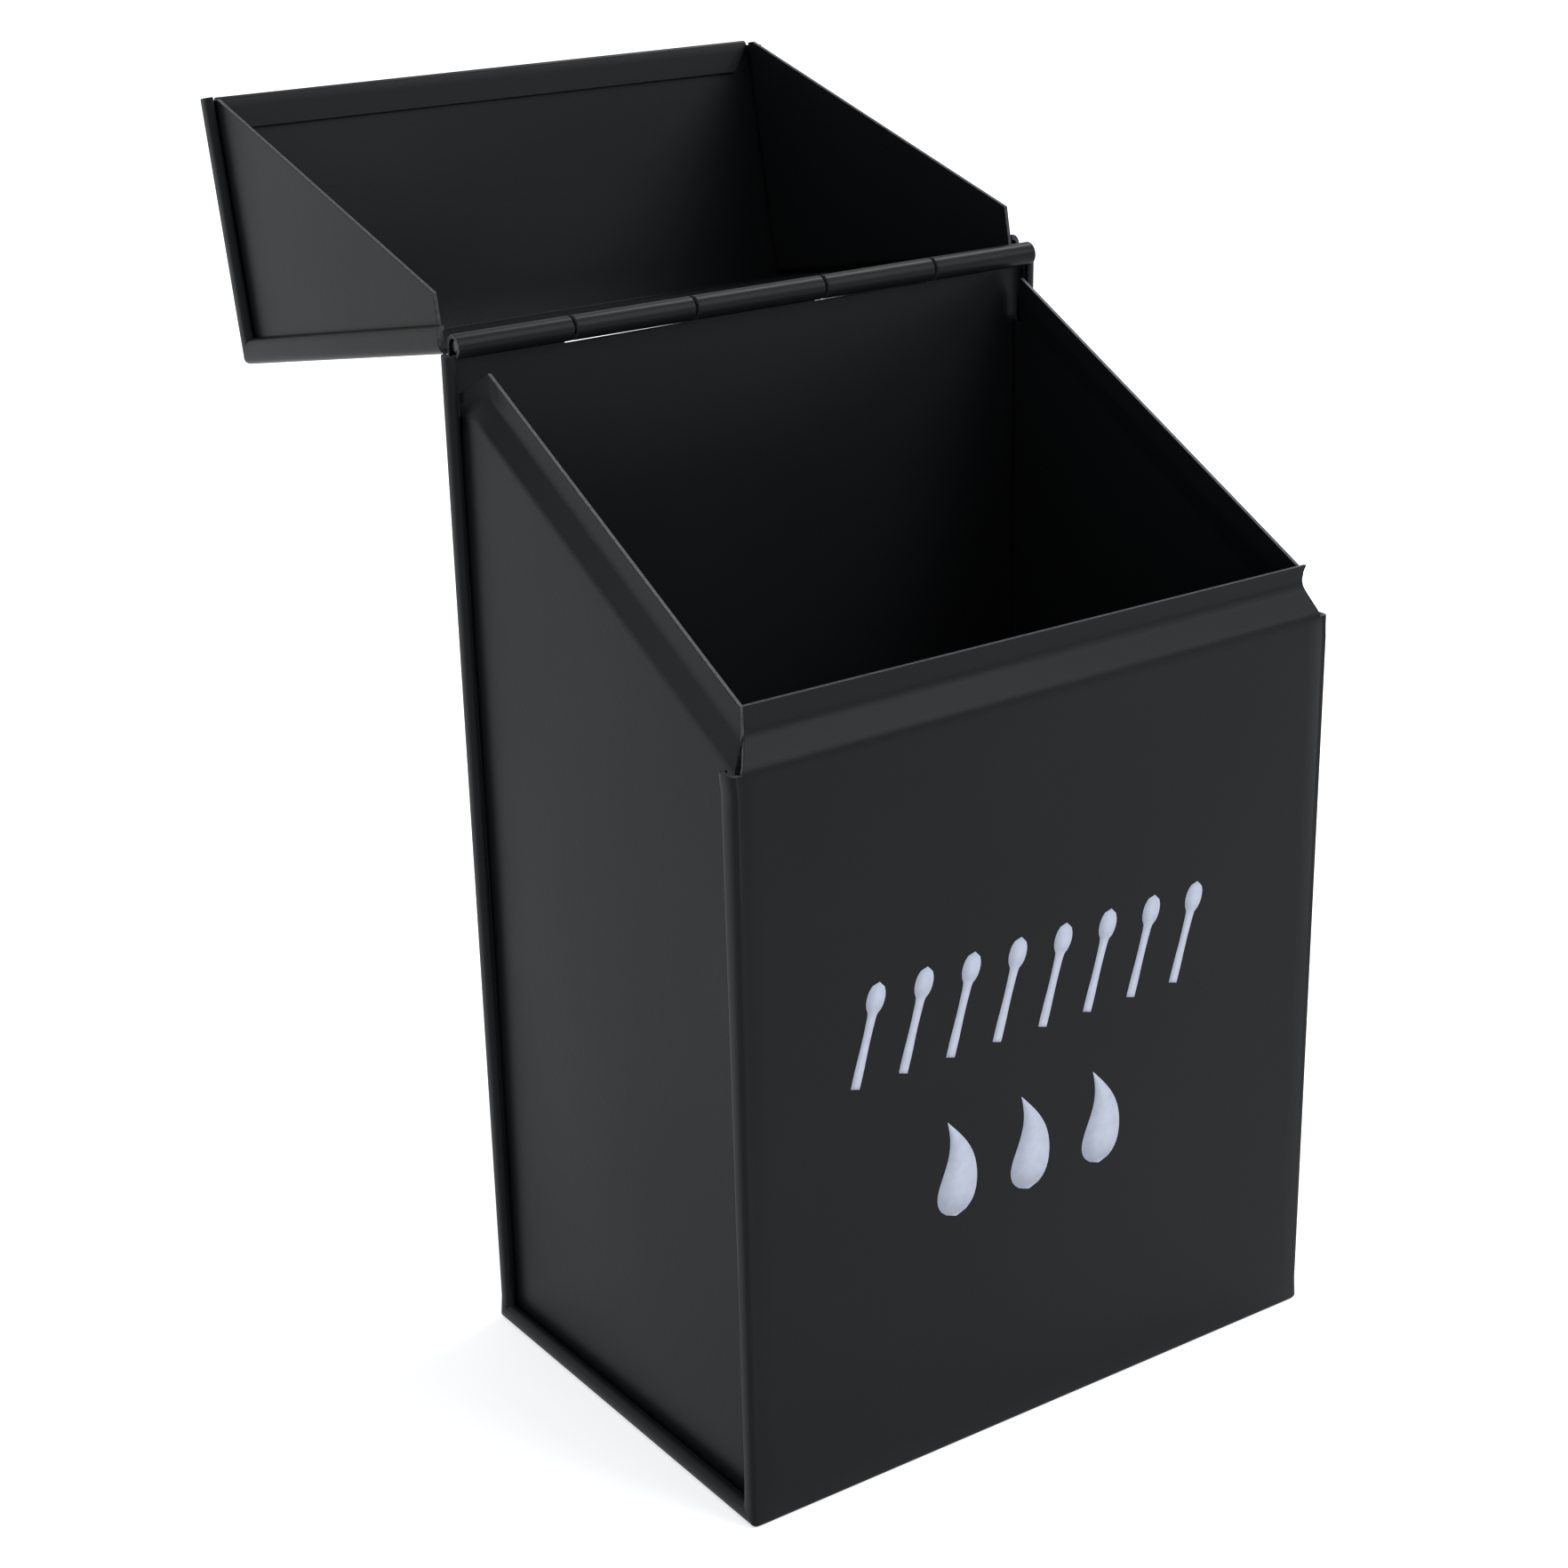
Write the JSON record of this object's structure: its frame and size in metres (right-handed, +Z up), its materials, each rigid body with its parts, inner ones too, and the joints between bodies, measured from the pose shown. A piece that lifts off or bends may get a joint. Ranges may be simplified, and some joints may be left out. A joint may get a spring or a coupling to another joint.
{
  "type": "metal matchbox",
  "caption": "Folded sheet-steel matchbox with a slanted mouth and a wedge-shaped lid on a rolled hinge, shown swung open behind the box.",
  "frame": {"origin": "centre of the flat underside of the body, on the surface it stands on", "axes": "+X to the right seen from the front, +Y towards the back where the hinge is, +Z up; the front panel faces -Y"},
  "size_m": [0.081, 0.1129, 0.141],
  "materials": {
    "black_paint": "satin",
    "pin_steel": "satin"
  },
  "bodies": {
    "body": {"body_shell": "black_paint", "body_side_left": "black_paint", "body_side_right": "black_paint", "hinge_pin": "pin_steel"},
    "lid": {"lid_shell": "black_paint", "lid_side_left": "black_paint", "lid_side_right": "black_paint"}
  },
  "joints": [
    {"name": "lid_hinge", "type": "hinge", "parent": "body", "child": "lid", "pos_m": [0, 0.0262, 0.1205], "axis": [1, 0, 0], "range_deg": [0, 191.4]}
  ]
}
